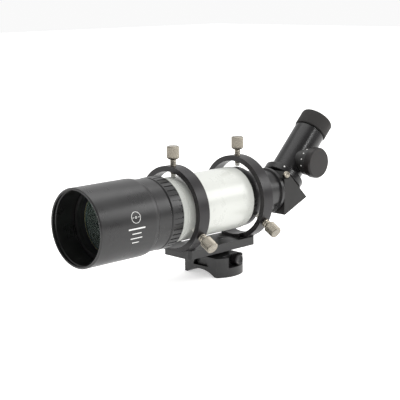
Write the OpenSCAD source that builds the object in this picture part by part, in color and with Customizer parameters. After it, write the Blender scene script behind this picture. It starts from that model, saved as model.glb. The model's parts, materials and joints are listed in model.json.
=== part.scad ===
// Finder scope: a 60 mm refractor in two adjusting rings on a dovetail rail, with an erecting
// diagonal and an illuminated reticle eyepiece.
// The optical axis runs along Y, with the sky towards -Y and the observer towards +Y. +Z is up.
// The origin is the centre of the saddle's underside. All sizes are in millimetres.

/* [Saddle] */
// Diameter of the round saddle, which is cut flat at its front and rear
saddle_d = 60.5; // [60:0.5:63]
// Length of the saddle along the scope
saddle_len = 38.1; // [37:0.1:39]
// Height of the saddle's jaws
saddle_h = 20; // [19:0.5:21]
// Radius of the arch under the saddle, which sits on a telescope tube
arch_r = 36.3; // [35:0.1:38]
// Height of the arch at its middle
arch_rise = 6; // [4:0.5:6]
// Height of the dovetail channel's floor
channel_z = 9.4; // [9.2:0.1:9.8]
// Half width of the dovetail channel at its floor
channel_half = 10.8; // [10.6:0.1:11.2]
// Distance between the two bolts that hold the saddle
saddle_bolt_pitch = 20; // [18:1:24]
// Distance of the clamp knob behind the saddle's centre
clamp_y = 8.8; // [8:0.1:9.4]

/* [Rail and rings] */
// Front end of the rail
rail_front = -52.75; // [-54:0.25:-51]
// Rear end of the rail
rail_rear = 42.65; // [41:0.05:43]
// Width of the rail
rail_w = 39.8; // [39:0.1:42]
// Underside of the rail
rail_z = 24.5; // [24:0.5:24.5]
// Thickness of the rail
rail_t = 8.5; // [7:0.5:8.5]
// Height of the optical axis
axis_z = 74; // [74:0.5:80]
// Middle of the front ring along the scope
front_ring_y = -54.75; // [-55.5:0.25:-54]
// Middle of the rear ring along the scope
rear_ring_y = 36.55; // [36:0.05:37]
// Outer diameter of the rings
ring_od = 88; // [86:1:90]
// Inner diameter of the rings
ring_id = 77; // [76:0.5:79]
// Length of each ring along the scope
ring_w = 13.5; // [12:0.5:15]

/* [Thumbscrews] */
// Diameter of the screw thread
screw_d = 6; // [5.2:0.1:6]
// Diameter of the knurled head
head_d = 12.6; // [11:0.1:13]
// Length of the knurled head
head_len = 13.1; // [11:0.1:14]
// Distance of the head's outer end from the optical axis
head_top = 63.5; // [62:0.5:70]

/* [Tube] */
// Outer diameter of the main tube
tube_od = 65; // [63:0.5:66]
// Front end of the main tube
tube_front = -73.5; // [-74:0.1:-73]
// Rear end of the main tube
tube_rear = 27.65; // [27:0.05:28]
// Wall thickness of the main tube
tube_wall = 2; // [1.5:0.1:2.5]

/* [Objective] */
// Front rim of the dew shield
dew_front = -178; // [-180:0.25:-175]
// Rear end of the dew shield
dew_rear = -106.5; // [-107:0.5:-106]
// Outer diameter of the dew shield
dew_od = 76; // [75:0.5:78]
// Inner diameter of the dew shield's mouth
mouth_d = 71; // [70.5:0.5:71.5]
// Diameter of the lenses
lens_d = 62; // [60:0.5:62]
// Outer diameter of the lens cell
cell_od = 71.4; // [71:0.2:71.4]
// Outer diameter of the fluted lock ring
lock_od = 72; // [71:0.5:74]
// Number of flutes around the lock ring
lock_flutes = 40; // [24:1:48]

/* [Diagonal] */
// Distance of the bend in the optical axis behind the saddle's centre
bend_y = 96.2; // [95:0.2:98]
// Width of the prism housing with its covers
housing_w = 45; // [44:0.5:46]
// Thickness of each cover
cover_t = 1.5; // [1:0.5:2]
// Outer diameter of the rear adapter and the swivel flange
adapter_od = 49; // [48:0.5:50]

/* [Eyepiece] */
// Diameter of the eyepiece barrel
barrel_d = 31.7; // [31.6:0.05:31.75]
// Outer diameter of the eyepiece body
body_od = 34.6; // [34:0.2:36]
// Outer diameter of the index collar
collar_od = 45; // [42:0.5:46]
// Distance of the eyecup's top from the bend, along the eyepiece
eyecup_top = 98.4; // [96:0.2:100]
// Outer diameter of the eyecup
eyecup_od = 36.6; // [36:0.2:38]
// Distance of the brightness dial's axis from the bend, along the eyepiece
dial_at = 40.3; // [39:0.1:42]
// Outer diameter of the brightness dial
dial_od = 33; // [31:0.5:34]

/* [Hidden] */

$fn = 96;
fine = 0.06;                                // radial clearance of a running fit
far = 200;                                  // longer than any cut needs to be

black = [0.10, 0.10, 0.11];
dark_grey = [0.22, 0.21, 0.22];
nickel = [0.72, 0.68, 0.58];
white = [0.93, 0.93, 0.90];
nylon = [0.90, 0.89, 0.84];
steel = [0.60, 0.60, 0.62];
brass = [0.72, 0.56, 0.28];
rubber = [0.20, 0.20, 0.20];
glass = [0.55, 0.65, 0.62, 0.5];

// Saddle
channel_top_half = channel_half - 4;
slide_gap = 0.3;                            // between the foot and the channel
clamp_z = 15.2;                             // height of the clamp screw
clamp_r = 5.6;
clamp_shaft_r = 2.5;
clamp_in_x = 21;                            // inner end of the knob
clamp_out_x = 29;                           // outer end of the knob
notch_x = 20;                               // inner wall of the finger notch
notch_z = 9.2;                              // floor of the finger notch
notch_front = -7.6;
notch_rear = 15.4;
saddle_bolt_r = 2.25;

// Rail
rail_top = rail_z + rail_t;
foot_front = -14.9;
foot_rear = 17;
foot_bolt_y = [-8, 10];
foot_bolt_r = 2;
stop_x = 4.5;
stop_z = 22.2;
stop_r = 1;
ring_pad = 16;                              // length of a ring's foot along the rail
ring_pad_half = 11;
ring_pad_h = 5;
ring_base_half = 17.5;                      // half width of a ring's base on the rail
ring_fillet = 8;                            // blend between a ring and its base
ring_bolt_r = 2.5;
ring_bolt_seat = 5.2;                       // depth of the head's pocket in the rail
ring_bolt_depth = 2.4;                      // depth of the bolt's hole in a ring's foot

// Ring screws: angle around the tube, measured from +X towards +Z
angle_top = 90;
angle_right = -30;
angle_left = 210;
tube_r = tube_od / 2;
tip_gap = 0.1;
tip_r = 2.4;
stem_r = 1.4;
collar_in = ring_od / 2 + 0.8;              // inner end of a lower screw's collar

// Tube and objective
tube_in = tube_r - tube_wall;
thread_r = 29;                              // focusing thread on the front collar
lock_front = tube_front - 15.4;
lock_rear = tube_front - 0.3;
washer_t = 0.5;
cell_rear = lock_front - washer_t - 0.1;
cell_front = -152;
lens_r = lens_d / 2;
crown_front = -146;
crown_rear = -140;
flint_front = -139.6;
flint_rear = -135;
crown_sag = 2.2;
inner_sag = 1.6;
rear_sag = 0.4;

// Diagonal: profile points are [y, z] from the bend
wedge = 45;                                 // bend of the optical axis in degrees
roof = wedge / 2;                           // slope of the roof plane
top_l = 11;                                 // top face of the housing, along the eyepiece
front_l = 11;                               // front face of the housing
housing_depth = 18.9;                       // distance of the sloping face from the bend
prism_l = 4.4;                              // entrance and exit faces of the prism
prism_half = 15;
prism_depth = prism_l * 3.695;              // distance of the roof plane for a straight image
flange_front = 63;
adapter_seat = tube_rear + 16.6;
swivel_r = 20;
corner_y = -5.8;                            // upper end of the flat, on the socket's face
corner_z = 15;                              // lower end of the flat, on the flange's face
light_r = 12;
socket_l = 5.8;                             // floor of the eyepiece socket
eyepiece_clamp_l = 7.2;
eyepiece_clamp_angle = -40;
eyepiece_clamp_seat = 26;                   // bottom of the pocket for the screw's head
eyepiece_screw_r = 1.5;

// Eyepiece: distances along its axis from the bend
barrel_r = barrel_d / 2;
spigot_r = 14;
collar_low = 12.8;
collar_high = 22.4;
body_r = body_od / 2;
body_high = 79.2;
bore_r = 14.2;
cup_low = 80.6;
cup_r = eyecup_od / 2;
switch_x = 28.6;                            // outer end of the switch housing
switch_r = 14.8;
dial_x = 37.3;                              // outer face of the dial
dial_r = dial_od / 2;

// ---- helpers -------------------------------------------------------------------------------

// Puts a shape's Z axis on the optical axis, pointing to the observer
module along_axis() {
    translate([0, 0, axis_z]) rotate([-90, 0, 0]) children();
}

// Turns a profile of [radius, y] points around the optical axis
module axis_turned(points) {
    along_axis() rotate_extrude() polygon(points);
}

// A tube on the optical axis between two stations
module axis_tube(y0, y1, r_out, r_in) {
    translate([0, y0, axis_z]) rotate([-90, 0, 0]) difference() {
        cylinder(h = y1 - y0, r = r_out);
        translate([0, 0, -1]) cylinder(h = y1 - y0 + 2, r = r_in);
    }
}

// Places a shape on the eyepiece axis, with Z pointing to the eye
module on_eyepiece() {
    translate([0, bend_y, axis_z]) rotate([-wedge, 0, 0]) children();
}

// Extrudes a [y, z] outline around the bend to a half width on both sides
module side_extrude(points, half) {
    translate([0, bend_y, axis_z]) rotate([90, 0, 90])
        linear_extrude(height = 2 * half, center = true) polygon(points);
}

// Points Z outwards from the optical axis at a station and an angle
module at_ring_angle(y, angle) {
    translate([0, y, axis_z]) rotate([0, 90 - angle, 0]) children();
}

// Socket head cap screw, with its head on Z = 0 and its shank downwards
module cap_screw(r, length, head_r, head_h) {
    cylinder(h = length, r = r);
    translate([0, 0, -head_h]) difference() {
        cylinder(h = head_h, r = head_r);
        translate([0, 0, -1]) cylinder(h = head_h / 2 + 1, r = head_r * 0.5, $fn = 6);
    }
}

// ---- saddle --------------------------------------------------------------------------------

module channel_outline() {
    polygon([
        [-channel_half, channel_z], [channel_half, channel_z],
        [channel_top_half, saddle_h], [channel_top_half, saddle_h + 1],
        [-channel_top_half, saddle_h + 1], [-channel_top_half, saddle_h]
    ]);
}

module base_saddle() {
    color(black) difference() {
        intersection() {
            cylinder(h = saddle_h, r = saddle_d / 2);
            translate([-saddle_d, -saddle_len / 2, 0]) cube([2 * saddle_d, saddle_len, saddle_h]);
        }
        translate([0, 0, arch_rise - arch_r]) rotate([90, 0, 0])
            cylinder(h = far, r = arch_r, center = true, $fn = 128);
        rotate([90, 0, 0]) linear_extrude(height = far, center = true) channel_outline();
        translate([notch_x, notch_front, notch_z])
            cube([far, notch_rear - notch_front, saddle_h]);
        translate([0, clamp_y, clamp_z]) rotate([0, 90, 0]) cylinder(h = far, r = clamp_shaft_r + fine);
        for (side = [-1, 1])
            translate([0, side * saddle_bolt_pitch / 2, 0]) cylinder(h = far, r = saddle_bolt_r);
    }
}

module clamp_plunger() {
    tip_x = channel_half - 1.3;
    color(brass) translate([tip_x, clamp_y, clamp_z]) rotate([0, 90, 0]) {
        cylinder(h = 2.4, r = 2.2);
        cylinder(h = 5, r = 1.2);
    }
}

module clamp_knob() {
    shaft_x = channel_half + 1.2;
    color(dark_grey) translate([0, clamp_y, clamp_z]) rotate([0, 90, 0]) difference() {
        union() {
            translate([0, 0, shaft_x]) cylinder(h = clamp_in_x - shaft_x, r = clamp_shaft_r);
            translate([0, 0, clamp_in_x]) rotate_extrude() polygon([
                [0, 0], [clamp_r - 0.5, 0], [clamp_r, 0.5], [clamp_r, clamp_out_x - clamp_in_x - 0.8],
                [clamp_r - 0.8, clamp_out_x - clamp_in_x], [0, clamp_out_x - clamp_in_x]
            ]);
        }
        translate([0, 0, shaft_x - 1]) cylinder(h = 4, r = 1.2 + fine);
    }
}

// ---- rail and rings ------------------------------------------------------------------------

module dovetail_foot() {
    color(black) difference() {
        translate([0, foot_rear, 0]) rotate([90, 0, 0]) linear_extrude(height = foot_rear - foot_front)
            polygon([
                [-channel_half + 2 * slide_gap, channel_z + slide_gap],
                [channel_half - 2 * slide_gap, channel_z + slide_gap],
                [channel_top_half - slide_gap, saddle_h], [channel_top_half - slide_gap, rail_z],
                [-channel_top_half + slide_gap, rail_z], [-channel_top_half + slide_gap, saddle_h]
            ]);
        for (y = foot_bolt_y)
            translate([0, y, channel_z + 4]) cylinder(h = far, r = foot_bolt_r);
        translate([stop_x, foot_front - 1, stop_z]) rotate([-90, 0, 0]) cylinder(h = 6, r = stop_r);
    }
}

module foot_bolts() {
    color(steel) for (y = foot_bolt_y)
        translate([0, y, rail_top - 4.4]) mirror([0, 0, 1]) cap_screw(foot_bolt_r, 11, 3.5, 4);
}

module stop_screw() {
    head_h = 1.2;
    color(steel) translate([stop_x, foot_front, stop_z]) rotate([-90, 0, 0]) {
        cylinder(h = 4.8, r = stop_r);
        translate([0, 0, -head_h]) difference() {
            cylinder(h = head_h, r = 1.5);
            translate([0, 0, -1]) cylinder(h = 1.6, r = 0.8, $fn = 6);
        }
    }
}

// Middle of a ring's foot along the rail: it points towards the middle of the rail
function pad_y(ring_y) = ring_y < 0 ? rail_front + ring_pad / 2 : rail_rear - ring_pad / 2;

module ring_rail() {
    bevel = 3;
    half = rail_w / 2;
    color(black) difference() {
        translate([0, 0, rail_z]) linear_extrude(height = rail_t) polygon([
            [-half + bevel, rail_front], [half - bevel, rail_front], [half, rail_front + bevel],
            [half, rail_rear - bevel], [half - bevel, rail_rear], [-half + bevel, rail_rear],
            [-half, rail_rear - bevel], [-half, rail_front + bevel]
        ]);
        for (y = foot_bolt_y) {
            translate([0, y, 0]) cylinder(h = far, r = foot_bolt_r);
            translate([0, y, rail_top - 4.4]) cylinder(h = far, r = 3.6);
        }
        for (y = [front_ring_y, rear_ring_y]) {
            translate([0, pad_y(y), 0]) cylinder(h = far, r = ring_bolt_r);
            translate([0, pad_y(y), 0]) cylinder(h = rail_z + ring_bolt_seat, r = 4.6);
        }
    }
}

module ring_bolts() {
    length = rail_t - ring_bolt_seat + ring_bolt_depth - 0.1;
    color(steel) for (y = [front_ring_y, rear_ring_y])
        translate([0, pad_y(y), rail_z + ring_bolt_seat]) cap_screw(ring_bolt_r, length, 4.4, 5);
}

// Where a ring and its foot meet the rail: the base has the ring's length, but stays on the rail
module ring_base(ring_y) {
    front = max(ring_y - ring_w / 2, rail_front);
    rear = min(ring_y + ring_w / 2, rail_rear);
    blend_x = ring_base_half + ring_fillet - 0.8;
    pad_top = rail_top + ring_pad_h;
    difference() {
        translate([-ring_base_half, front, rail_top])
            cube([2 * ring_base_half, rear - front, ring_pad_h + ring_fillet]);
        for (side = [-1, 1])
            translate([side * blend_x, ring_y, pad_top + ring_fillet - 1])
                rotate([90, 0, 0]) cylinder(h = far, r = ring_fillet + 1, center = true);
    }
}

module scope_ring(ring_y) {
    difference() {
        union() {
            difference() {
                translate([0, ring_y, axis_z]) rotate([90, 0, 0])
                    cylinder(h = ring_w, r = ring_od / 2, center = true, $fn = 160);
                translate([-far, -far, rail_top - far]) cube([2 * far, 2 * far, far]);
            }
            translate([-ring_pad_half, pad_y(ring_y) - ring_pad / 2, rail_top])
                cube([2 * ring_pad_half, ring_pad, ring_pad_h]);
            ring_base(ring_y);
        }
        translate([0, ring_y, axis_z]) rotate([90, 0, 0])
            cylinder(h = far, r = ring_id / 2, center = true, $fn = 160);
        for (angle = [angle_top, angle_right, angle_left])
            at_ring_angle(ring_y, angle) cylinder(h = far, r = screw_d / 2 + fine);
        translate([0, pad_y(ring_y), 0]) cylinder(h = rail_top + ring_bolt_depth, r = ring_bolt_r);
    }
}

module front_ring() {
    color(dark_grey) scope_ring(front_ring_y);
}

module rear_ring() {
    color(dark_grey) scope_ring(rear_ring_y);
}

// ---- ring screws ---------------------------------------------------------------------------

// The lower screws have a collar beside the ring, which the upper ones don't have
module thumbscrew(ring_y, angle) {
    r = screw_d / 2;
    low = tube_r + tip_gap + 3.2;
    head_low = head_top - head_len;
    collar = angle == angle_top ? r : r + 1.4;
    color(nickel) at_ring_angle(ring_y, angle) difference() {
        rotate_extrude() polygon([
            [0, low], [r - 0.5, low], [r, low + 0.5], [r, collar_in], [collar, collar_in + 0.3],
            [collar, collar_in + 3.6], [r, collar_in + 3.9], [r, head_low - 0.2], [r + 1.2, head_low],
            [head_d / 2 - 1.2, head_low], [head_d / 2, head_low + 1.4], [head_d / 2, head_top - 1],
            [head_d / 2 - 0.9, head_top - 0.2], [0, head_top]
        ]);
        translate([0, 0, low - 1]) cylinder(h = 4.6, r = stem_r + fine);
    }
}

module screw_tip(ring_y, angle) {
    low = tube_r + tip_gap;
    color(nylon) at_ring_angle(ring_y, angle) {
        translate([0, 0, low]) cylinder(h = 3, r = tip_r);
        translate([0, 0, low]) cylinder(h = 6.4, r = stem_r);
    }
}

// ---- tube ----------------------------------------------------------------------------------

module main_tube() {
    color(white) axis_turned([
        [tube_in, tube_front], [tube_r - 0.4, tube_front], [tube_r, tube_front + 0.4],
        [tube_r, tube_front + 8], [tube_r - 0.4, tube_front + 8.4],
        [tube_r - 0.4, tube_front + 9.4], [tube_r, tube_front + 9.8],
        [tube_r, tube_rear - 0.4], [tube_r - 0.4, tube_rear], [tube_in, tube_rear]
    ]);
}

module front_collar() {
    inner = thread_r - 2.6;
    color(black) axis_turned([
        [inner, -101], [thread_r - 0.4, -101], [thread_r, -100.6], [thread_r, tube_front],
        [tube_in, tube_front], [tube_in, tube_front + 10], [inner, tube_front + 10]
    ]);
}

module baffle(y, hole_r) {
    color(black) axis_turned([
        [hole_r, y], [tube_in - 1.5, y], [tube_in - 1.5, y - 5], [tube_in, y - 5],
        [tube_in, y + 1.2], [hole_r, y + 1.2]
    ]);
}

module rear_cell() {
    bore = 22;
    color(black) axis_turned([
        [26.5, tube_rear - 10], [tube_in, tube_rear - 10], [tube_in, tube_rear],
        [tube_r - 1, tube_rear], [tube_r - 1, tube_rear + 9.6], [tube_r - 2, tube_rear + 10.8],
        [adapter_od / 2 + 0.8, adapter_seat], [bore, adapter_seat], [bore, adapter_seat - 5.6],
        [26.5, tube_rear + 6]
    ]);
}

module rear_adapter() {
    r = adapter_od / 2;
    bore = swivel_r + fine;
    seat = adapter_seat;
    color(black) axis_turned([
        [bore, seat - 5.2], [22, seat - 5.2], [22, seat], [r - 0.4, seat], [r, seat + 0.4],
        [r, flange_front - 4.4], [r - 0.8, flange_front - 3.8], [r - 0.8, flange_front - 3],
        [r, flange_front - 2.4], [r, flange_front - 0.8], [r - 0.4, flange_front - 0.4],
        [bore, flange_front - 0.4]
    ]);
}

// ---- objective -----------------------------------------------------------------------------

module dew_shield() {
    r = dew_od / 2;
    mouth = mouth_d / 2;
    seat = cell_od / 2;
    color(black) axis_turned([
        [mouth, dew_front + 4.6], [mouth + 0.7, dew_front + 4], [mouth + 0.7, dew_front + 3.2],
        [mouth, dew_front + 2.6], [mouth, dew_front + 0.6], [mouth + 0.6, dew_front], [r - 1, dew_front],
        [r, dew_front + 1.2], [r, dew_rear - 5], [r - 0.4, dew_rear - 1.6], [r - 1.4, dew_rear],
        [seat, dew_rear], [seat, dew_rear - 12], [mouth + 0.3, dew_rear - 12.6],
        [mouth + 0.3, cell_front - 0.3], [mouth, cell_front - 0.6]
    ]);
}

module lens_cell() {
    r = cell_od / 2;
    hidden_r = r - 1.2;
    bore = thread_r + fine;
    wide = r - 2.4;
    lens_seat = lens_r - 1.2;
    color(black) axis_turned([
        [lens_r + 0.05, cell_front], [hidden_r, cell_front], [hidden_r, dew_rear - 13.4],
        [r, dew_rear - 11.8],
        [r, cell_rear - 0.4], [r - 0.4, cell_rear], [bore, cell_rear], [bore, cell_rear - 12],
        [wide, cell_rear - 15], [wide, flint_rear + 4], [lens_seat, flint_rear + 2],
        [lens_seat, flint_rear], [lens_r + 0.05, flint_rear]
    ]);
}

module retaining_ring() {
    inner = lens_r - 1;
    rear = crown_front + crown_sag - 0.2;
    color(black) axis_turned([
        [inner, rear], [inner + 0.9, rear - 4], [lens_r, rear - 4], [lens_r, rear]
    ]);
}

// Points of a lens face of a given sag at its centre, from the rim to the axis
function face(r, y, sag, steps = 12) =
    let (bend_r = (r * r + sag * sag) / (2 * abs(sag)))
    [for (i = [0 : steps])
        let (x = r * (1 - i / steps), drop = sqrt(bend_r * bend_r - x * x) - (bend_r - abs(sag)))
        [x, y + sign(sag) * drop]];

function reversed(list) = [for (i = [len(list) - 1 : -1 : 0]) list[i]];

// A lens between two faces: a positive sag bulges to the observer
module lens(r, y_front, sag_front, y_rear, sag_rear) {
    color(glass) rotate_extrude() polygon(concat(
        face(r, y_front, sag_front), reversed(face(r, y_rear, sag_rear))));
}

module crown_lens() {
    along_axis() lens(lens_r, crown_front + crown_sag, -crown_sag, crown_rear - inner_sag, inner_sag);
}

module lens_spacer() {
    rim_drop = 0.15;                        // the crown's face passes its rim by this much
    color(brass) axis_tube(crown_rear - inner_sag + rim_drop, flint_front - inner_sag, lens_r, lens_r - 1.2);
}

module flint_lens() {
    along_axis() lens(lens_r, flint_front - inner_sag, inner_sag, flint_rear, rear_sag);
}

module friction_washer() {
    color(nylon) axis_tube(cell_rear + 0.05, cell_rear + 0.05 + washer_t, cell_od / 2 - 1, thread_r + 0.3);
}

module lock_ring() {
    r = lock_od / 2;
    groove_w = 1.5;
    color(black) difference() {
        axis_turned([
            [thread_r + fine, lock_front], [r - 1.2, lock_front], [r, lock_front + 1], [r, lock_rear - 0.8],
            [r - 0.8, lock_rear], [thread_r + fine, lock_rear]
        ]);
        along_axis() for (i = [0 : lock_flutes - 1])
            rotate([0, 0, i * 360 / lock_flutes])
                translate([r - 0.8, -groove_w / 2, lock_front + 2.2])
                    cube([5, groove_w, lock_rear - lock_front - 4]);
    }
}

// ---- diagonal ------------------------------------------------------------------------------

// Height of the roof plane at a given y, for a plane at a given distance from the bend
function roof_z(y, depth) = (y * sin(roof) - depth) / cos(roof);

// Where the roof plane meets the plane that stands at a distance along the eyepiece
function roof_top(l, depth) =
    let (sum = l / cos(wedge), y = (sum + depth / cos(roof)) / (1 + tan(roof)))
    [y, sum - y];

module diagonal_flange() {
    r = adapter_od / 2;
    rear = bend_y - front_l;
    color(black) axis_turned([
        [light_r + 3, 45], [swivel_r, 45], [swivel_r, flange_front], [r - 0.4, flange_front],
        [r, flange_front + 0.4], [r, flange_front + 2], [r - 1.2, flange_front + 3.2],
        [r - 2, flange_front + 16.2], [r, flange_front + 17.2], [r, rear - 1.6], [r - 1.4, rear],
        [light_r, rear], [light_r, rear - 4]
    ]);
}

// Outline of the housing and its covers: a flat cuts off the corner between the flange and the
// socket, and the two other corners are just broken
function housing_outline() =
    let (cut = 0.7, tip = roof_top(top_l, housing_depth), sum = top_l / cos(wedge))
    [
        [-front_l, roof_z(-front_l, housing_depth) + cut],
        [-front_l + cut, roof_z(-front_l + cut, housing_depth)],
        [tip[0] - cut, roof_z(tip[0] - cut, housing_depth)], [tip[0] - cut, tip[1] + cut],
        [corner_y, sum - corner_y], [-front_l, corner_z]
    ];

// Bore and head pocket of the screw that clamps the eyepiece
module eyepiece_clamp_bore() {
    on_eyepiece() translate([0, 0, eyepiece_clamp_l]) rotate([0, 90, eyepiece_clamp_angle]) {
        cylinder(h = far, r = eyepiece_screw_r + fine);
        translate([0, 0, eyepiece_clamp_seat]) cylinder(h = far, r = 4.1);
    }
}

module prism_housing() {
    color(dark_grey) difference() {
        side_extrude(housing_outline(), housing_w / 2 - cover_t);
        side_extrude(prism_outline(0.15), far);
        translate([0, bend_y - prism_l + 1, axis_z]) rotate([90, 0, 0])
            cylinder(h = far, r = light_r);
        on_eyepiece() {
            cylinder(h = far, r = light_r);
            translate([0, 0, socket_l]) cylinder(h = far, r = barrel_r + fine);
        }
        eyepiece_clamp_bore();
    }
}

// Outline of the roof prism, grown by a gap, with its sharp corners cut off
function prism_outline(gap) =
    let (l = prism_l + gap, depth = prism_depth + gap, sum = l / cos(wedge),
         tip = roof_top(l, depth))
    [
        [-l, roof_z(-l, depth) + 2], [-l + 2, roof_z(-l + 2, depth)],
        [tip[0] - 2, roof_z(tip[0] - 2, depth)], [tip[0] - 1, sum - tip[0] + 1],
        [-l + 1.5, sum + l - 1.5], [-l, sum + l - 3.5]
    ];

// A cover closes the prism's cavity on one side: side is 1 at the right, -1 at the left
module prism_cover(side) {
    color(dark_grey) difference() {
        translate([side * (housing_w - cover_t) / 2, 0, 0]) side_extrude(housing_outline(), cover_t / 2);
        eyepiece_clamp_bore();
    }
}

module prism() {
    color(glass) side_extrude(prism_outline(0), prism_half);
}

module prism_pad() {
    inner = housing_w / 2 - cover_t;
    color(rubber) translate([(prism_half + inner) / 2, 0, 0])
        side_extrude([[-2, -12], [11, -8], [8, -2], [-2, 6]], (inner - prism_half) / 2);
}

module prism_spring() {
    inner = housing_w / 2 - cover_t;
    color(steel) translate([-(prism_half + inner) / 2, 0, 0]) {
        for (y = [-2, 7])
            side_extrude([[y, -9], [y + 2, -9], [y + 2, -3], [y, -3]], (inner - prism_half) / 2);
        translate([(inner - prism_half) / 2 - 0.3, 0, 0])
            side_extrude([[0, -9], [7, -9], [7, -3], [0, -3]], 0.3);
    }
}

module eyepiece_clamp_tip() {
    low = barrel_r + tip_gap;
    color(brass) on_eyepiece() translate([0, 0, eyepiece_clamp_l])
        rotate([0, 90, eyepiece_clamp_angle]) translate([0, 0, low]) {
            cylinder(h = 1.2, r = 1.15);
            cylinder(h = 2.6, r = 0.7);
        }
}

module eyepiece_clamp_screw() {
    low = barrel_r + tip_gap + 1.3;
    head = eyepiece_clamp_seat + 0.4;
    color(nickel) on_eyepiece() translate([0, 0, eyepiece_clamp_l])
        rotate([0, 90, eyepiece_clamp_angle]) difference() {
            rotate_extrude() polygon([
                [0, low], [eyepiece_screw_r, low], [eyepiece_screw_r, head], [3, head], [3.6, head + 0.6],
                [3.6, head + 5.4], [3, head + 6], [0, head + 6.2]
            ]);
            translate([0, 0, low - 1]) cylinder(h = 2.6, r = 0.7 + fine);
        }
}

// ---- eyepiece ------------------------------------------------------------------------------

// Turns a profile of [radius, distance] points around the eyepiece axis
module eyepiece_turned(points) {
    on_eyepiece() rotate_extrude() polygon(points);
}

module eyepiece_barrel() {
    inner = 12.4;
    color(black) eyepiece_turned([
        [inner, socket_l + 0.2], [barrel_r - 0.4, socket_l + 0.2], [barrel_r, socket_l + 0.6],
        [barrel_r, collar_low - 0.2], [spigot_r, collar_low - 0.2], [spigot_r, collar_high + 4],
        [inner, collar_high + 4]
    ]);
}

module index_collar() {
    r = collar_od / 2;
    color(black) eyepiece_turned([
        [spigot_r + fine, collar_low], [r - 0.8, collar_low], [r, collar_low + 0.8], [r, collar_high - 2.8],
        [r - 0.6, collar_high - 2], [body_r + 1.2, collar_high], [spigot_r + fine, collar_high]
    ]);
}

module eyepiece_body() {
    color(black) difference() {
        eyepiece_turned([
            [spigot_r + fine, collar_high + 0.2], [body_r, collar_high + 0.2], [body_r, body_high - 0.3],
            [body_r - 0.3, body_high], [bore_r, body_high], [bore_r, collar_high + 4.4],
            [spigot_r + fine, collar_high + 4.4]
        ]);
        on_eyepiece() translate([0, 0, dial_at]) rotate([0, 90, 0]) cylinder(h = far, r = 5);
    }
}

module field_lens() {
    on_eyepiece() lens(bore_r, 28, -0.01, 31, 1.2);
}

module reticle() {
    color(glass) on_eyepiece() translate([0, 0, 46]) cylinder(h = 2, r = bore_r);
}

module switch_housing() {
    color(black) on_eyepiece() difference() {
        translate([0, 0, dial_at]) rotate([0, 90, 0]) difference() {
            rotate_extrude() polygon([
                [0, body_r - 6], [switch_r - 2.6, body_r - 6], [switch_r - 2.6, body_r + 2.4],
                [switch_r, body_r + 3.4], [switch_r, switch_x - 0.4], [switch_r - 0.4, switch_x],
                [0, switch_x]
            ]);
            translate([0, 0, body_r + 1.4]) cylinder(h = far, r = 10.6);
            cylinder(h = far, r = 3.1);
        }
        cylinder(h = far, r = body_r);
    }
}

module led() {
    color(glass) on_eyepiece() translate([0, 0, dial_at]) rotate([0, 90, 0]) {
        translate([0, 0, body_r - 2]) cylinder(h = 3.4, r = 2.4);
        translate([0, 0, body_r + 0.6]) cylinder(h = 0.8, r = 3);
    }
}

module battery() {
    color(steel) on_eyepiece() translate([0, 0, dial_at]) rotate([0, 90, 0]) {
        translate([0, 0, body_r + 1.4]) cylinder(h = 3.2, r = 10);
    }
}

module battery_spring() {
    color(brass) on_eyepiece() translate([0, 0, dial_at]) rotate([0, 90, 0]) difference() {
        translate([0, 0, body_r + 4.6]) cylinder(h = 4.4, r1 = 7, r2 = 4);
        translate([0, 0, body_r + 4.6]) cylinder(h = 4.4, r1 = 6, r2 = 3);
    }
}

module dial_cap() {
    h = dial_x - switch_x - 0.3;
    spigot = body_r + 9.2;
    color(dark_grey) on_eyepiece() translate([0, 0, dial_at]) rotate([0, 90, 0]) {
        translate([0, 0, switch_x + 0.3]) rotate_extrude() polygon([
            [0, 0], [dial_r - 0.6, 0], [dial_r, 0.6], [dial_r, h - 1.6], [dial_r - 1.2, h], [0, h]
        ]);
        translate([0, 0, spigot]) cylinder(h = switch_x + 0.4 - spigot, r = 10.5);
    }
}

module eye_cell() {
    shaft = bore_r - fine;
    outer = cup_r - 3.2;
    color(black) eyepiece_turned([
        [shaft - 1.6, 62], [shaft, 62], [shaft, body_high + 0.8], [body_r - 1, body_high + 0.8],
        [body_r - 1, cup_low - 0.1], [outer, cup_low - 0.1], [outer, eyecup_top - 5],
        [outer - 1.6, eyecup_top - 5],
        [12, eyecup_top - 7], [12, body_high + 3], [shaft - 1.6, body_high + 1]
    ]);
}

module eye_lens() {
    on_eyepiece() lens(12, 83.4, -1, 90, 1.6);
}

module eyecup() {
    inner = cup_r - 3.1;
    top = eyecup_top;
    color(rubber) eyepiece_turned([
        [inner, cup_low], [cup_r - 0.5, cup_low], [cup_r, cup_low + 0.5], [cup_r, top - 1.6],
        [cup_r - 0.5, top - 0.5], [cup_r - 1.6, top], [inner - 0.4, top], [inner - 1.4, top - 1.2],
        [inner - 1.4, top - 4], [inner, top - 4.6]
    ]);
}

// ---- output --------------------------------------------------------------------------------

base_saddle();
clamp_plunger();
clamp_knob();
dovetail_foot();
foot_bolts();
stop_screw();
ring_rail();
front_ring();
rear_ring();
ring_bolts();
main_tube();
front_collar();
baffle(-40, 25);  // baffle_front
baffle(0, 20);  // baffle_rear
rear_cell();
rear_adapter();
thumbscrew(front_ring_y, angle_top);  // front_top_screw
thumbscrew(front_ring_y, angle_right);  // front_right_screw
thumbscrew(front_ring_y, angle_left);  // front_left_screw
thumbscrew(rear_ring_y, angle_top);  // rear_top_screw
thumbscrew(rear_ring_y, angle_right);  // rear_right_screw
thumbscrew(rear_ring_y, angle_left);  // rear_left_screw
screw_tip(front_ring_y, angle_top);  // front_top_tip
screw_tip(front_ring_y, angle_right);  // front_right_tip
screw_tip(front_ring_y, angle_left);  // front_left_tip
screw_tip(rear_ring_y, angle_top);  // rear_top_tip
screw_tip(rear_ring_y, angle_right);  // rear_right_tip
screw_tip(rear_ring_y, angle_left);  // rear_left_tip
dew_shield();
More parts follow.
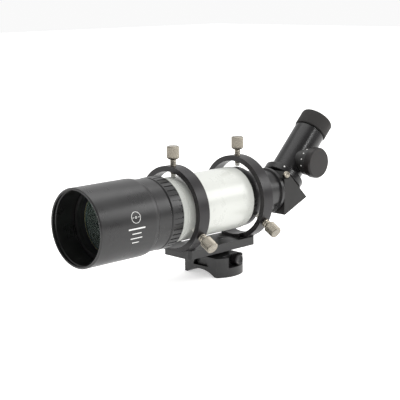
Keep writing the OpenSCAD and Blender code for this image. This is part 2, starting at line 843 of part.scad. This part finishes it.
lens_cell();
retaining_ring();
crown_lens();
lens_spacer();
flint_lens();
friction_washer();
lock_ring();
diagonal_flange();
prism_housing();
prism_cover(1);  // prism_cover_right
prism_cover(-1);  // prism_cover_left
prism();
prism_pad();
prism_spring();
eyepiece_clamp_tip();
eyepiece_clamp_screw();
eyepiece_barrel();
index_collar();
eyepiece_body();
field_lens();
reticle();
switch_housing();
led();
battery();
battery_spring();
dial_cap();
eye_cell();
eye_lens();
eyecup();
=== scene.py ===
"""Finder scope: materials, knurled and printed detail, floor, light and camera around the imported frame."""
import json
from math import ceil, cos, pi, radians, sin

import bmesh
import bpy
from mathutils import Matrix, Vector


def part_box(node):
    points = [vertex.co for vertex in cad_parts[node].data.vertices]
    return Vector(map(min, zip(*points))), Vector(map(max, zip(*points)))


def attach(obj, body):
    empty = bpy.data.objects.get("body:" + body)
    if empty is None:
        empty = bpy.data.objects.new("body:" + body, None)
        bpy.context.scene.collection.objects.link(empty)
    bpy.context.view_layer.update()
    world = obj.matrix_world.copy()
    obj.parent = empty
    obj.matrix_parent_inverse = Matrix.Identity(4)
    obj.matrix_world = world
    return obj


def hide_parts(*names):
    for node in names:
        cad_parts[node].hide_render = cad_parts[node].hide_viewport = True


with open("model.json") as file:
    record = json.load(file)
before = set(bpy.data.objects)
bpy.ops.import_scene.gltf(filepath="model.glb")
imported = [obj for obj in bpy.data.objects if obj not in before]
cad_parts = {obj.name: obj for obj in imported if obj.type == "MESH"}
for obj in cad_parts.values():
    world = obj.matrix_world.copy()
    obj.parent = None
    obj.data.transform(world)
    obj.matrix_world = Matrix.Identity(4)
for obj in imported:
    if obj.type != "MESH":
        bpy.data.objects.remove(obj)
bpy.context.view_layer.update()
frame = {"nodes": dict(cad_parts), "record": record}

MM = 0.001
NODES = frame["nodes"]
RECORD = frame["record"]
JOINTS = {joint["name"]: joint for joint in RECORD["behaviour"]["joints"]}
BODY_OF = {node: body for body, nodes in RECORD["behaviour"]["bodies"].items() for node in nodes}
AXIS_Z = JOINTS["focus_turn"]["pos_m"][2]
EYE_AXIS = Vector(JOINTS["eyepiece_turn"]["axis"])
BEND = Vector((0, JOINTS["diagonal_swivel"]["pos_m"][1], AXIS_Z))


# ---- procedural materials ----------------------------------------------------------------

def nodes_of(name):
    """A new material, its node tree and its Principled shader."""
    material = bpy.data.materials.new(name)
    material.use_nodes = True
    return material, material.node_tree, material.node_tree.nodes["Principled BSDF"]


def coordinates(tree, scale=(1, 1, 1), turn=(0, 0, 0)):
    """Object coordinates in metres, turned and then stretched."""
    place = tree.nodes.new("ShaderNodeTexCoord")
    turned = tree.nodes.new("ShaderNodeMapping")
    turned.inputs["Rotation"].default_value = turn
    stretched = tree.nodes.new("ShaderNodeMapping")
    stretched.inputs["Scale"].default_value = scale
    tree.links.new(place.outputs["Object"], turned.inputs["Vector"])
    tree.links.new(turned.outputs["Vector"], stretched.inputs["Vector"])
    return stretched.outputs["Vector"]


def noise(tree, vector, scale, detail=3.0):
    texture = tree.nodes.new("ShaderNodeTexNoise")
    texture.inputs["Scale"].default_value = scale
    texture.inputs["Detail"].default_value = detail
    tree.links.new(vector, texture.inputs["Vector"])
    return texture.outputs["Fac"]


def remap(tree, value, low, high, start=0.3, stop=0.7):
    node = tree.nodes.new("ShaderNodeMapRange")
    node.inputs["From Min"].default_value = start
    node.inputs["From Max"].default_value = stop
    node.inputs["To Min"].default_value = low
    node.inputs["To Max"].default_value = high
    tree.links.new(value, node.inputs["Value"])
    return node.outputs["Result"]


def blend_colours(tree, factor, dark, light):
    node = tree.nodes.new("ShaderNodeMix")
    node.data_type = "RGBA"
    node.inputs["A"].default_value = (*dark, 1)
    node.inputs["B"].default_value = (*light, 1)
    tree.links.new(factor, node.inputs["Factor"])
    return node.outputs["Result"]


def worn_edges(tree, colour, bare, amount):
    """Brightens the sharpest edges, broken up by noise, where handling has rubbed the finish."""
    rounded = tree.nodes.new("ShaderNodeBevel")
    rounded.samples = 4
    rounded.inputs["Radius"].default_value = 0.35 * MM
    geometry = tree.nodes.new("ShaderNodeNewGeometry")
    agree = tree.nodes.new("ShaderNodeVectorMath")
    agree.operation = "DOT_PRODUCT"
    tree.links.new(rounded.outputs["Normal"], agree.inputs[0])
    tree.links.new(geometry.outputs["Normal"], agree.inputs[1])
    edge = remap(tree, agree.outputs["Value"], amount, 0, 0.86, 0.97)
    patchy = remap(tree, noise(tree, coordinates(tree), 350), 0.15, 1)
    both = tree.nodes.new("ShaderNodeMath")
    both.operation = "MULTIPLY"
    tree.links.new(edge, both.inputs[0])
    tree.links.new(patchy, both.inputs[1])
    mix = tree.nodes.new("ShaderNodeMix")
    mix.data_type = "RGBA"
    mix.inputs["B"].default_value = (*bare, 1)
    tree.links.new(both.outputs[0], mix.inputs["Factor"])
    tree.links.new(colour, mix.inputs["A"])
    return mix.outputs["Result"]


def blackened_inside(tree, colour, radius):
    """Flat black paint on whatever lies nearer to the optical axis than a radius."""
    place = tree.nodes.new("ShaderNodeTexCoord")
    across = tree.nodes.new("ShaderNodeVectorMath")
    across.operation = "MULTIPLY_ADD"
    across.inputs[1].default_value = (1, 0, 1)
    across.inputs[2].default_value = (0, 0, -AXIS_Z)
    distance = tree.nodes.new("ShaderNodeVectorMath")
    distance.operation = "LENGTH"
    tree.links.new(place.outputs["Object"], across.inputs[0])
    tree.links.new(across.outputs["Vector"], distance.inputs[0])
    outside = remap(tree, distance.outputs["Value"], 0, 1, radius - 0.1 * MM, radius + 0.1 * MM)
    mix = tree.nodes.new("ShaderNodeMix")
    mix.data_type = "RGBA"
    mix.inputs["A"].default_value = (0.008, 0.008, 0.008, 1)
    tree.links.new(outside, mix.inputs["Factor"])
    tree.links.new(colour, mix.inputs["B"])
    return mix.outputs["Result"]


def finish(name, colour, rough, metallic=0.0, vary=0.12, grain=2200, bump=0.05, stretch=(1, 1, 1),
           turn=(0, 0, 0), coat=0.0, wear=0.0, bare=(0.5, 0.5, 0.5), specular=0.5, black_within=0):
    """A solid finish: fine grain or turning marks, faint handling marks and worn edges."""
    material, tree, shader = nodes_of(name)
    fine = noise(tree, coordinates(tree, stretch, turn), grain)
    broad = noise(tree, coordinates(tree), 45, 4)
    dark = [channel * (1 - vary) for channel in colour]
    light = [min(1, channel * (1 + vary)) for channel in colour]
    shade = blend_colours(tree, remap(tree, broad, 0, 1), dark, light)
    if wear:
        shade = worn_edges(tree, shade, bare, wear)
    if black_within:
        shade = blackened_inside(tree, shade, black_within)
    tree.links.new(shade, shader.inputs["Base Color"])
    mixed = tree.nodes.new("ShaderNodeMath")
    mixed.operation = "MULTIPLY_ADD"
    mixed.inputs[1].default_value = 0.35
    tree.links.new(fine, mixed.inputs[0])
    tree.links.new(broad, mixed.inputs[2])
    tree.links.new(remap(tree, mixed.outputs[0], rough * 0.82, rough * 1.18, 0.45, 0.9),
                   shader.inputs["Roughness"])
    relief = tree.nodes.new("ShaderNodeBump")
    relief.inputs["Strength"].default_value = bump
    relief.inputs["Distance"].default_value = 0.05 * MM
    tree.links.new(fine, relief.inputs["Height"])
    tree.links.new(relief.outputs["Normal"], shader.inputs["Normal"])
    shader.inputs["Metallic"].default_value = metallic
    shader.inputs["Coat Weight"].default_value = coat
    shader.inputs["Coat Roughness"].default_value = 0.08
    shader.inputs["Specular IOR Level"].default_value = specular
    return material


def optical(name, tint, clear):
    """Coated glass: a faint coloured reflection over a clear body, with a little dust."""
    material, tree, shader = nodes_of(name)
    dust = noise(tree, coordinates(tree), 900, 5)
    tree.links.new(blend_colours(tree, remap(tree, dust, 0, 1, 0.4, 0.75), tint,
                                 [channel * 1.03 for channel in tint]), shader.inputs["Base Color"])
    tree.links.new(remap(tree, dust, 0.02, 0.05, 0.5, 0.8), shader.inputs["Roughness"])
    shader.inputs["Transmission Weight"].default_value = clear
    shader.inputs["IOR"].default_value = 1.52
    shader.inputs["Specular Tint"].default_value = (0.5, 0.9, 0.65, 1)
    return material


ALONG_SCOPE = dict(stretch=(0.04, 1, 0.04))
ALONG_EYEPIECE = dict(stretch=(0.04, 1, 0.04), turn=(-pi / 4, 0, 0))
BLACK = (0.011, 0.0106, 0.011)
SILVER = (0.16, 0.16, 0.16)
anodised = finish("anodised", BLACK, 0.31, vary=0.1, bump=0.12, wear=0.35, bare=SILVER, **ALONG_SCOPE)
shield_black = finish("shield_anodised", BLACK, 0.31, vary=0.1, bump=0.12, wear=0.5, bare=SILVER,
                      black_within=36.6 * MM, **ALONG_SCOPE)
anodised_eye = finish("anodised_eyepiece", BLACK, 0.24, vary=0.1, bump=0.1, wear=0.3, bare=SILVER,
                      specular=0.35, **ALONG_EYEPIECE)
milled = finish("milled_anodised", (0.012, 0.0117, 0.012), 0.36, vary=0.14, grain=2600, bump=0.2, wear=0.4,
                bare=SILVER)
ring_grey = finish("ring_anodised", (0.013, 0.0115, 0.0125), 0.33, vary=0.12, bump=0.15, wear=0.5,
                   bare=SILVER, specular=0.35, **ALONG_SCOPE)
housing_grey = finish("housing_enamel", (0.0125, 0.012, 0.0115), 0.42, vary=0.1, grain=3000, bump=0.25,
                      wear=0.3, bare=SILVER, specular=0.3)
inside_black = finish("inside_black", (0.012, 0.012, 0.012), 0.62, vary=0.2, grain=1500, bump=0.3,
                      **ALONG_SCOPE)
white_enamel = finish("white_enamel", (0.6, 0.612, 0.575), 0.3, vary=0.004, grain=700, bump=0.06, coat=0.35,
                      black_within=31.2 * MM)
nickel = finish("nickel", (0.3, 0.275, 0.23), 0.27, metallic=1.0, vary=0.12, grain=3200, bump=0.15)
zinc = finish("zinc", (0.5, 0.5, 0.52), 0.34, metallic=1.0, vary=0.1, grain=3000, bump=0.15)
brass = finish("turned_brass", (0.68, 0.48, 0.2), 0.3, metallic=1.0, vary=0.1, grain=3000, bump=0.1)
nylon = finish("nylon", (0.8, 0.79, 0.72), 0.42, vary=0.04, grain=1500, bump=0.08)
rubber = finish("rubber", (0.024, 0.023, 0.022), 0.74, vary=0.16, grain=2600, bump=0.45, specular=0.3)
plastic = finish("moulded_plastic", (0.014, 0.0135, 0.013), 0.45, vary=0.12, grain=2800, bump=0.4, wear=0.2,
                 bare=(0.2, 0.2, 0.2))
dial_plastic = finish("dial_plastic", (0.013, 0.0112, 0.0108), 0.34, vary=0.14, grain=2200, bump=0.12,
                      specular=0.3)
print_white = finish("print_white", (0.78, 0.78, 0.76), 0.5, vary=0.08, grain=2500, bump=0.2)
battery_case = finish("battery_case", (0.55, 0.55, 0.56), 0.2, metallic=1.0, vary=0.06, grain=2000, bump=0.05)
objective_glass = optical("objective_glass", (0.6, 0.68, 0.64), 0.94)
eye_glass = optical("eye_glass", (0.74, 0.82, 0.92), 0.9)
crown = optical("prism_glass", (0.93, 0.97, 0.95), 0.95)

NODE_MATERIAL = {
    shield_black: "dew_shield",
    anodised: "front_collar rear_cell rear_adapter lens_cell retaining_ring lock_ring "
              "diagonal_flange",
    anodised_eye: "eyepiece_barrel index_collar eyepiece_body eye_cell",
    milled: "base_saddle dovetail_foot ring_rail",
    ring_grey: "front_ring rear_ring clamp_knob",
    housing_grey: "prism_housing prism_cover_right prism_cover_left",
    inside_black: "baffle_front baffle_rear",
    white_enamel: "main_tube",
    nickel: "eyepiece_clamp_screw",
    zinc: "foot_bolts stop_screw ring_bolts prism_spring",
    brass: "clamp_plunger lens_spacer eyepiece_clamp_tip battery_spring",
    rubber: "eyecup prism_pad",
    plastic: "switch_housing",
    dial_plastic: "dial_cap",
    nylon: "friction_washer",
    battery_case: "battery",
    objective_glass: "crown_lens flint_lens",
    eye_glass: "field_lens reticle eye_lens led",
    crown: "prism",
}
RINGS = ("front", "rear")
SIDES = ("top", "right", "left")
SCREWS = [f"{ring}_{side}" for ring in RINGS for side in SIDES]


def set_material(piece, material):
    piece.data.materials.clear()
    piece.data.materials.append(material)


def soften(piece, width):
    """Rounds a turned or milled part's sharp edges and shades it smooth between them."""
    bevel = piece.modifiers.new("soft_edges", "BEVEL")
    bevel.width = width
    bevel.segments = 2
    bevel.limit_method = "ANGLE"
    bevel.angle_limit = radians(35)
    bevel.use_clamp_overlap = True
    bevel.harden_normals = True


def dress_cad_nodes():
    for material, names in NODE_MATERIAL.items():
        for name in names.split():
            set_material(NODES[name], material)
    for screw in SCREWS:
        set_material(NODES[screw + "_tip"], nylon)
        set_material(NODES[screw + "_screw"], nickel)
    sharp = "base_saddle ring_rail dovetail_foot front_ring rear_ring prism_housing index_collar dial_cap"
    for name in sharp.split():
        soften(NODES[name], 0.3 * MM)


# ---- turned and knurled pieces ------------------------------------------------------------

def add_piece(name, mesh, body, material, matrix=None):
    """A new object on a body. Its mesh is in the frame's coordinates, or is put there by a matrix."""
    if matrix is not None:
        mesh.transform(matrix)
    piece = bpy.data.objects.new(name, mesh)
    bpy.context.scene.collection.objects.link(piece)
    set_material(piece, material)
    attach(piece, body)
    return piece


def turned(name, profile, segments, depth_at=lambda turn, height: 0):
    """A closed turned mesh from [radius, height] points in millimetres, with the profile's first and
    last points on the axis. depth_at gives how far the surface is cut in at a turn and height."""
    mesh = bpy.data.meshes.new(name)
    shape = bmesh.new()
    rows = []
    for radius, height in profile:
        if radius == 0:
            rows.append([shape.verts.new((0, 0, height * MM))])
            continue
        row = []
        for i in range(segments):
            angle = 2 * pi * i / segments
            cut = radius - depth_at(i / segments, height)
            row.append(shape.verts.new((cut * cos(angle) * MM, cut * sin(angle) * MM, height * MM)))
        rows.append(row)
    for low, high in zip(rows, rows[1:]):
        for i in range(segments):
            j = (i + 1) % segments
            corners = [low[i % len(low)], low[j % len(low)], high[j % len(high)], high[i % len(high)]]
            shape.faces.new(list(dict.fromkeys(corners)))
    bmesh.ops.recalc_face_normals(shape, faces=shape.faces)
    shape.to_mesh(mesh)
    shape.free()
    for face in mesh.polygons:
        face.use_smooth = True
    return mesh


def aim(direction, start):
    """Puts a mesh's Z axis on a direction from a start point."""
    return Matrix.Translation(start) @ Vector((0, 0, 1)).rotation_difference(direction).to_matrix().to_4x4()


def knurl(teeth, depth, low, high):
    """A straight knurl between two heights, which fades out at its ends."""
    def depth_at(turn, height):
        if not low < height < high:
            return 0
        fade = min(1, (height - low) / 0.5, (high - height) / 0.5)
        return depth * fade * abs((turn * teeth % 1) * 2 - 1)
    return depth_at


def spread(low, high, step):
    """Heights from low to high, about a step apart."""
    count = max(1, ceil((high - low) / step))
    return [low + (high - low) * i / count for i in range(count + 1)]


def screw_thread(radius, low, high, pitch):
    """Profile points of thread ridges."""
    points = []
    for i in range(int((high - low) / pitch)):
        base = low + i * pitch
        points += [(radius - 0.15, base), (radius, base + pitch * 0.35), (radius, base + pitch * 0.5),
                   (radius - 0.15, base + pitch * 0.85)]
    return points


def thumbscrew(screw):
    """A ring's knurled screw. The side ones have a grooved lock nut against the ring."""
    ring, side = screw.split("_")
    joint = JOINTS[screw + "_screw_turn"]
    direction = Vector(joint["axis"]).normalized()
    start = Vector((0, joint["pos_m"][1], AXIS_Z))
    top = (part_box(ring + "_top_screw")[1][2] - AXIS_Z) / MM
    low = (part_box(ring + "_top_screw")[0][2] - AXIS_Z) / MM
    shank, head, head_length = 3.0, 6.3, 13.1
    ring_face = 44.8
    head_low = top - head_length
    collar = [] if side == "top" else [
        (shank + 1.1, ring_face + 0.05), (shank + 1.4, ring_face + 0.35), (shank + 1.4, ring_face + 1.5),
        (shank + 0.9, ring_face + 1.75), (shank + 0.9, ring_face + 2.05), (shank + 1.4, ring_face + 2.3),
        (shank + 1.4, ring_face + 3.4), (shank + 1.1, ring_face + 3.7)]
    thread_top = head_low - 1 if side == "top" else ring_face
    threads = screw_thread(shank, low + 0.6, thread_top, 0.8)
    grip = [(head, height) for height in spread(head_low + 1.3, top - 1.1, 0.35)]
    profile = [(0, low), (shank - 0.5, low), *threads, *collar, (shank - 0.1, head_low - 0.5),
               (shank + 1.2, head_low), (head - 1.2, head_low), (head - 0.1, head_low + 1.2), *grip,
               (head - 0.9, top - 0.25), (head - 1.4, top - 0.12), (head - 1.6, top - 0.3),
               (1.6, top - 0.3), (1.3, top - 0.1), (0, top)]
    mesh = turned(screw, profile, 160, knurl(32, 0.5, head_low + 1.3, top - 1.1))
    piece = add_piece(screw + "_knurled", mesh, BODY_OF[screw + "_screw"], nickel,
                      aim(direction, start))
    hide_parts(screw + "_screw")


def clamp_knob():
    """The saddle's knurled clamp knob with its shaft."""
    joint = JOINTS["clamp_knob_turn"]
    low, high = [corner[0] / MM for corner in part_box("clamp_knob")]
    radius, inner, shaft = 5.6, high - 8, 2.5
    grip = [(radius, height) for height in spread(inner + 0.7, high - 0.9, 0.3)]
    profile = [(0, low), (shaft, low), (shaft, inner), (radius - 0.6, inner), *grip, (radius - 0.9, high),
               (radius - 1.6, high), (radius - 1.9, high - 0.4), (0, high - 0.4)]
    mesh = turned("clamp_knob", profile, 144, knurl(36, 0.35, inner + 0.7, high - 0.9))
    start = Vector((0, joint["pos_m"][1], joint["pos_m"][2]))
    piece = add_piece("clamp_knob_knurled", mesh, "clamp_knob", ring_grey,
                      aim(Vector((1, 0, 0)), start))
    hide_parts("clamp_knob")


def eyepiece_clamp_screw():
    """The small knurled screw that holds the eyepiece in its socket."""
    joint = JOINTS["eyepiece_clamp_turn"]
    direction = Vector(joint["axis"]).normalized()
    above_bend = 7.2
    start = BEND + EYE_AXIS * above_bend * MM
    low, inner, high = 17.25, 26.4, 32.4
    head = 3.6
    grip = [(head, height) for height in spread(inner + 0.7, high - 0.7, 0.3)]
    profile = [(0, low), (1.5, low), (1.5, inner), (3, inner), *grip, (3, high), (2.2, high),
               (2, high - 0.3), (0, high - 0.2)]
    mesh = turned("eyepiece_clamp", profile, 96, knurl(24, 0.25, inner + 0.7, high - 0.7))
    piece = add_piece("eyepiece_clamp_knurled", mesh, "eyepiece_clamp_screw", nickel,
                      aim(direction, start))
    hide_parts("eyepiece_clamp_screw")


def close(shape, rows):
    """Sides between two rows of corners, with both ends filled."""
    low, high = rows
    shape.faces.new(low)
    shape.faces.new(high)
    for i in range(len(low)):
        j = (i + 1) % len(low)
        shape.faces.new((low[i], low[j], high[j], high[i]))


def band(name, radius, low, high, teeth, depth, place, direction, body, material, wall=0.6):
    """A knurled band around an axis, closed on its inside."""
    grip = [(radius, height) for height in spread(low + 0.3, high - 0.3, 0.3)]
    rows = [(radius - wall, low), (radius - 0.25, low), *grip, (radius - 0.25, high), (radius - wall, high)]
    segments = teeth * 4
    cut = knurl(teeth, depth, low + 0.3, high - 0.3)
    mesh = bpy.data.meshes.new(name)
    shape = bmesh.new()
    loops = []
    for ring_radius, height in rows:
        loop = []
        for i in range(segments):
            angle = 2 * pi * i / segments
            reach = ring_radius - cut(i / segments, height)
            loop.append(shape.verts.new((reach * cos(angle) * MM, reach * sin(angle) * MM, height * MM)))
        loops.append(loop)
    for lower, upper in zip(loops, loops[1:] + loops[:1]):
        for i in range(segments):
            j = (i + 1) % segments
            shape.faces.new((lower[i], lower[j], upper[j], upper[i]))
    bmesh.ops.recalc_face_normals(shape, faces=shape.faces)
    shape.to_mesh(mesh)
    shape.free()
    for face in mesh.polygons:
        face.use_smooth = True
    add_piece(name, mesh, body, material, aim(direction, place))


def illuminator_grips():
    """A fine grip round the switch housing, beside its dots, and another round the dial."""
    dial = JOINTS["dial_turn"]
    centre = Vector((0, *dial["pos_m"][1:]))
    across = Vector((1, 0, 0))
    dial_radius = (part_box("dial_cap")[1][1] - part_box("dial_cap")[0][1]) / 2 / MM
    dial_low, dial_high = 29.2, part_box("dial_cap")[1][0] / MM - 2
    band("switch_grip", 14.95, 25.7, 28.3, 90, 0.22, centre, across, "eyepiece", plastic)
    band("dial_grip", dial_radius + 0.08, dial_low, dial_high, 96, 0.3, centre, across, "dial",
         dial_plastic)


def eyecup_ribs():
    """Two low ribs round the foot of the eyecup."""
    rib_radius, rib_width = 18.38, 0.9
    for i, height in enumerate((81.6, 83.4)):
        band(f"eyecup_rib_{i}", rib_radius, height, height + rib_width, 60, 0.0, BEND, EYE_AXIS, "eyecup",
             rubber, wall=0.4)


def reticle_cross():
    """The etched double cross on the reticle's rear face: four fine raised lines."""
    mesh = bpy.data.meshes.new("reticle_cross")
    shape = bmesh.new()
    reach, gap, half, low, high = 13.5, 1.0, 0.08, 48.01, 48.05
    bars = [(0, side * gap, reach, half) for side in (-1, 1)]
    bars += [(side * gap, 0, half, reach) for side in (-1, 1)]
    for x, y, half_x, half_y in bars:
        corners = [(x - half_x, y - half_y), (x + half_x, y - half_y), (x + half_x, y + half_y),
                   (x - half_x, y + half_y)]
        close(shape, [[shape.verts.new((u * MM, v * MM, height * MM)) for u, v in corners]
                      for height in (low, high)])
    bmesh.ops.recalc_face_normals(shape, faces=shape.faces)
    shape.to_mesh(mesh)
    shape.free()
    add_piece("reticle_cross", mesh, "eyepiece", inside_black, aim(EYE_AXIS, BEND))


# ---- dots and printing ---------------------------------------------------------------------

def dot(name, place, direction, radius, body):
    """A small domed paint dot on a surface."""
    profile = [(0, -0.1), (radius, -0.1), (radius, 0.02), (radius * 0.7, 0.08), (0, 0.1)]
    add_piece(name, turned(name, profile, 24), body, print_white, aim(direction, place))


def illuminator_dots():
    """The switch housing's index dots, one every 27 degrees round the side that faces the sky."""
    dial = JOINTS["dial_turn"]
    centre = Vector((24.2 * MM, *dial["pos_m"][1:]))
    forward = Vector((0, -EYE_AXIS.z, EYE_AXIS.y))
    for i in range(5):
        angle = radians(-54 + 27 * i)
        direction = forward * cos(angle) + EYE_AXIS * sin(angle)
        dot(f"brightness_dot_{i}", centre + direction * 14.8 * MM, direction, 0.8, "eyepiece")


def collar_dot():
    """The index collar's paint dot."""
    forward = Vector((0, -EYE_AXIS.z, EYE_AXIS.y))
    above_bend, collar_radius, turn = 18, 22.5, radians(55)
    direction = Vector((1, 0, 0)) * cos(turn) + forward * sin(turn)
    place = BEND + EYE_AXIS * above_bend * MM + direction * collar_radius * MM
    dot("collar_index_dot", place, direction, 0.9, "index_collar")


def wrapped_strip(name, outline, inner, closed=False):
    """A thin printed shape on the dew shield between two lists of [along, around] points in mm."""
    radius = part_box("dew_shield")[1][0] / MM
    shape = bmesh.new()

    def row(points, lift):
        turned_points = [(along, around / radius) for along, around in points]
        reach = radius + lift
        return [shape.verts.new((reach * cos(angle) * MM, along * MM, AXIS_Z + reach * sin(angle) * MM))
                for along, angle in turned_points]
    rows = [row(outline, 0.05), row(inner, 0.05), row(inner, -0.02), row(outline, -0.02)]
    count = len(outline)
    for i in range(count if closed else count - 1):
        j = (i + 1) % count
        for near, far in zip(rows, rows[1:] + rows[:1]):
            shape.faces.new((near[i], near[j], far[j], far[i]))
    if not closed:
        shape.faces.new([corners[0] for corners in rows])
        shape.faces.new([corners[-1] for corners in rows])
    mesh = bpy.data.meshes.new(name)
    bmesh.ops.recalc_face_normals(shape, faces=shape.faces)
    shape.to_mesh(mesh)
    shape.free()
    add_piece(name, mesh, BODY_OF["dew_shield"], print_white)


def printed_bar(name, y, around, length, height):
    steps = [y - length / 2 + length * i / 4 for i in range(5)]
    wrapped_strip(name, [(s, around + height / 2) for s in steps], [(s, around - height / 2) for s in steps])


def printed_mark():
    """A plain sighting circle with a small centre ring and two ticks, and plain bars below it, in place of
    any lettering.
    """
    y, around = -136, 9.5
    turns = [2 * pi * i / 48 for i in range(48)]
    for name, radius, width in (("mark_circle", 5.5, 0.45), ("mark_centre", 1.1, 0.45)):
        wrapped_strip(name, [(y + radius * cos(t), around + radius * sin(t)) for t in turns],
                      [(y + (radius - width) * cos(t), around + (radius - width) * sin(t)) for t in turns],
                      closed=True)
    printed_bar("mark_tick_front", y - 3.4, around, 2, 0.4)
    printed_bar("mark_tick_rear", y + 3.4, around, 2, 0.4)
    for i, length in enumerate((20, 11, 14, 8)):
        printed_bar(f"mark_bar_{i}", y, -1 - 4.6 * i, length, 0.9 if i else 1.3)


# ---- stage ----------------------------------------------------------------------------------

def floor():
    """A plain pale sheet, lit a little by itself so that it stays near white."""
    mesh = bpy.data.meshes.new("floor")
    reach = 6
    corners = [(-reach, -reach, 0), (reach, -reach, 0), (reach, reach, 0), (-reach, reach, 0)]
    mesh.from_pydata(corners, [], [(0, 1, 2, 3)])
    plane = bpy.data.objects.new("floor", mesh)
    bpy.context.scene.collection.objects.link(plane)
    paper = finish("floor", (0.95, 0.947, 0.94), 0.9, vary=0.004, grain=200, bump=0.0, specular=0.05)
    shader = paper.node_tree.nodes["Principled BSDF"]
    shader.inputs["Emission Color"].default_value = (1, 1, 1, 1)
    shader.inputs["Emission Strength"].default_value = 0.5
    set_material(plane, paper)


def area_light(name, place, aim_at, size, power, colour=(1, 1, 1)):
    light = bpy.data.lights.new(name, "AREA")
    light.shape = "RECTANGLE"
    light.size, light.size_y = size
    light.energy = power
    light.color = colour
    lamp = bpy.data.objects.new(name, light)
    lamp.location = place
    lamp.rotation_euler = (Vector(aim_at) - Vector(place)).to_track_quat("-Z", "Y").to_euler()
    bpy.context.scene.collection.objects.link(lamp)


def studio_world():
    """A white backdrop behind the object that falls off to a dimmer room on the near side."""
    world = bpy.data.worlds.new("studio")
    world.use_nodes = True
    tree = world.node_tree
    place = tree.nodes.new("ShaderNodeTexCoord")
    toward = tree.nodes.new("ShaderNodeVectorMath")
    toward.operation = "DOT_PRODUCT"
    toward.inputs[1].default_value = (-0.66, 0.64, 0.4)
    tree.links.new(place.outputs["Generated"], toward.inputs[0])
    background = tree.nodes["Background"]
    background.inputs["Color"].default_value = (1, 1, 1, 1)
    strength = remap(tree, toward.outputs["Value"], 0.24, 0.95, -0.45, 0.5)
    tree.links.new(strength, background.inputs["Strength"])
    bpy.context.scene.world = world


def lights():
    middle = (0, 0, 0.07)
    area_light("overhead", (-0.1, 0.1, 1.3), middle, (1.3, 1.3), 10)
    area_light("key", (0.9, -0.75, 1.0), middle, (0.12, 0.9), 3)
    area_light("eyepiece_strip", (1.09, 0.26, 0.6), (0, 0.13, 0.11), (0.06, 0.5), 2.5)
    area_light("side_box", (0.75, 0.85, 0.62), (0, -0.13, 0.08), (0.5, 0.5), 3)
    area_light("arch_light", (0.1, 1.3, 0.12), (0, 0, 0), (0.5, 0.2), 2.2, (1, 0.93, 0.84))
    studio_world()
    bpy.context.scene.view_settings.view_transform = "Standard"


def camera():
    """From in front and to the right, a little above, a metre or so away."""
    azimuth, elevation, roll = radians(45.99), radians(10.98), radians(-0.8)
    place = Vector((0.77415, -0.76645, 0.28673))
    focal = 97.1
    back = Vector((sin(azimuth) * cos(elevation), -cos(azimuth) * cos(elevation), sin(elevation)))
    level = Vector((cos(azimuth), sin(azimuth), 0))
    upright = back.cross(level)
    right = cos(roll) * level + sin(roll) * upright
    up = -sin(roll) * level + cos(roll) * upright
    lens = bpy.data.cameras.new("camera")
    lens.lens = focal
    lens.sensor_width = 36
    lens.clip_end = 50
    view = bpy.data.objects.new("camera", lens)
    view.matrix_world = Matrix.Translation(place) @ Matrix((right, up, back)).transposed().to_4x4()
    bpy.context.scene.collection.objects.link(view)
    bpy.context.scene.camera = view


dress_cad_nodes()
for screw_name in SCREWS:
    thumbscrew(screw_name)
clamp_knob()
eyepiece_clamp_screw()
illuminator_grips()
eyecup_ribs()
reticle_cross()
illuminator_dots()
collar_dot()
printed_mark()
floor()
lights()
camera()
bpy.context.view_layer.update()
